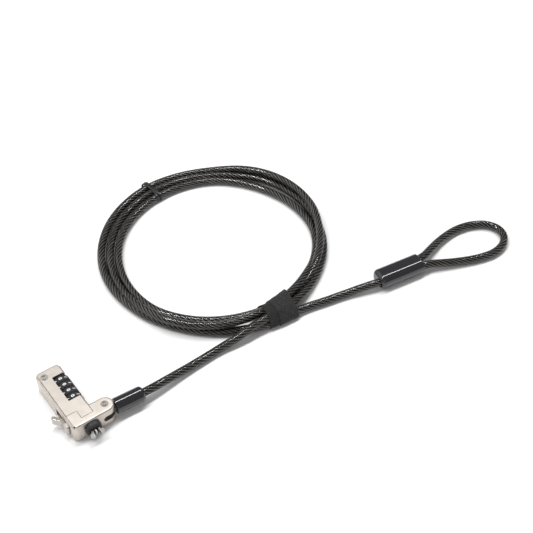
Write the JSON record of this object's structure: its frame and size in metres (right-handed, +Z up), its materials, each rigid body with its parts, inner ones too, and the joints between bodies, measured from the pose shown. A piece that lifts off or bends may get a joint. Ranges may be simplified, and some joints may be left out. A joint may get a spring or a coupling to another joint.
{
  "type": "laptop cable lock",
  "caption": "L-shaped combination lock with number wheels, thumb lever and spreading hooks on a coiled, strapped steel cable with an eye at its far end.",
  "frame": {"origin": "below the middle of the lock with its cable boot, on the surface that it lies on", "axes": "+Z up from the base, +X along the short arm toward the cable, +Y along the long arm away from the nose"},
  "size_m": [0.3332, 0.2002, 0.014],
  "materials": {
    "housing_nickel": "satin nickel plated zinc casting",
    "cover_nickel": "satin nickel plated, lightly brushed",
    "steel": "machined steel",
    "spring_steel": "drawn spring steel",
    "sleeve_brass": "turned brass",
    "wheel_black": "moulded acetal with printed digits",
    "lever_nickel": "satin nickel plated zinc casting",
    "nose_nickel": "satin nickel plated zinc casting",
    "collar_rubber": "moulded rubber",
    "boot_black": "gloss black moulding",
    "cable_jacket": "smoke-clear jacket over steel strand",
    "strap_black": "black hook-and-loop strap",
    "tie_black": "plastic-coated wire",
    "crimp_aluminium": "pressed aluminium"
  },
  "bodies": {
    "cable": {"cable_boot": "boot_black", "swivel_stud": "steel", "cable_lead": "cable_jacket", "cable_coil": "cable_jacket", "cable_tail": "cable_jacket", "cable_eye": "cable_jacket", "ferrule_crimp": "crimp_aluminium", "ferrule_sleeve": "boot_black", "cable_strap": "strap_black", "cable_tie": "tie_black"},
    "knuckle": {"pivot_knuckle": "nose_nickel"},
    "housing": {"housing_base": "housing_nickel", "housing_cover": "cover_nickel", "cover_screw": "steel", "pivot_pin": "steel", "nose_body": "nose_nickel", "nose_collar": "collar_rubber", "hook_pins": "steel", "detent_spring": "spring_steel", "lever_pin": "steel", "sleeve_spring": "spring_steel", "slide_spring": "spring_steel"},
    "lever": {"thumb_lever": "lever_nickel"},
    "slide": {"locking_slide": "steel", "locking_spindle": "steel"},
    "hook_l": {"hook_left": "steel"},
    "hook_r": {"hook_right": "steel"},
    "reset": {"reset_screw": "steel"},
    "wheel_1": {"number_wheel_1": "wheel_black"},
    "sleeve_1": {"code_sleeve_1": "sleeve_brass"},
    "wheel_2": {"number_wheel_2": "wheel_black"},
    "sleeve_2": {"code_sleeve_2": "sleeve_brass"},
    "wheel_3": {"number_wheel_3": "wheel_black"},
    "sleeve_3": {"code_sleeve_3": "sleeve_brass"},
    "wheel_4": {"number_wheel_4": "wheel_black"},
    "sleeve_4": {"code_sleeve_4": "sleeve_brass"}
  },
  "joints": [
    {"name": "cable_swivel", "type": "hinge", "parent": "cable", "child": "knuckle", "pos_m": [0.01211, -0.01607, 0.007], "axis": [0.9976, -0.0698, 0], "continuous": true},
    {"name": "anchor_pivot", "type": "hinge", "parent": "knuckle", "child": "housing", "pos_m": [0.00214, -0.01537, 0.007], "axis": [0, 0, 1], "range_deg": [-94, 86]},
    {"name": "lever_press", "type": "hinge", "parent": "housing", "child": "lever", "pos_m": [-0.02246, -0.01347, 0.0067], "axis": [0, 0, -1], "range_deg": [0, 13], "stiffness_Nm_per_rad": 0.02, "springref_deg": -14.32},
    {"name": "slide_travel", "type": "slide", "parent": "housing", "child": "slide", "axis": [0, -1, 0], "range_m": [0, 0.00124], "deforming": ["slide_spring"]},
    {"name": "hook_left_turn", "type": "hinge", "parent": "housing", "child": "hook_l", "pos_m": [-0.01186, -0.01607, 0.0072], "axis": [0, 0, 1], "range_deg": [0, 6.5]},
    {"name": "hook_right_turn", "type": "hinge", "parent": "housing", "child": "hook_r", "pos_m": [-0.00806, -0.01607, 0.0072], "axis": [0, 0, 1], "range_deg": [-6.5, 0]},
    {"name": "reset_turn", "type": "hinge", "parent": "housing", "child": "reset", "pos_m": [-0.00996, 0.02413, 0.0072], "axis": [0, 1, 0], "range_deg": [0, 90]},
    {"name": "digit_1_turn", "type": "hinge", "parent": "housing", "child": "wheel_1", "pos_m": [-0.00996, 0.00153, 0.0072], "axis": [0, 1, 0], "continuous": true},
    {"name": "sleeve_1_shift", "type": "slide", "parent": "wheel_1", "child": "sleeve_1", "axis": [0, -1, 0], "range_m": [0, 0.00089535], "deforming": ["sleeve_spring"]},
    {"name": "digit_2_turn", "type": "hinge", "parent": "housing", "child": "wheel_2", "pos_m": [-0.00996, 0.00673, 0.0072], "axis": [0, 1, 0], "continuous": true},
    {"name": "sleeve_2_shift", "type": "slide", "parent": "wheel_2", "child": "sleeve_2", "axis": [0, -1, 0], "range_m": [0, 0.00089535]},
    {"name": "digit_3_turn", "type": "hinge", "parent": "housing", "child": "wheel_3", "pos_m": [-0.00996, 0.01193, 0.0072], "axis": [0, 1, 0], "continuous": true},
    {"name": "sleeve_3_shift", "type": "slide", "parent": "wheel_3", "child": "sleeve_3", "axis": [0, -1, 0], "range_m": [0, 0.00089535]},
    {"name": "digit_4_turn", "type": "hinge", "parent": "housing", "child": "wheel_4", "pos_m": [-0.00996, 0.01713, 0.0072], "axis": [0, 1, 0], "continuous": true},
    {"name": "sleeve_4_shift", "type": "slide", "parent": "wheel_4", "child": "sleeve_4", "axis": [0, -1, 0], "range_m": [0, 0.00089535]}
  ],
  "couplings": [
    {"joint": "lever_press", "follows": "slide_travel", "rad_per_m": 183.39},
    {"joint": "hook_left_turn", "follows": "slide_travel", "rad_per_m": 91.694},
    {"joint": "hook_right_turn", "follows": "slide_travel", "rad_per_m": -91.694},
    {"joint": "reset_turn", "follows": "sleeve_1_shift", "rad_per_m": 1754.4},
    {"joint": "sleeve_2_shift", "follows": "sleeve_1_shift", "ratio": 1},
    {"joint": "sleeve_3_shift", "follows": "sleeve_1_shift", "ratio": 1},
    {"joint": "sleeve_4_shift", "follows": "sleeve_1_shift", "ratio": 1}
  ]
}
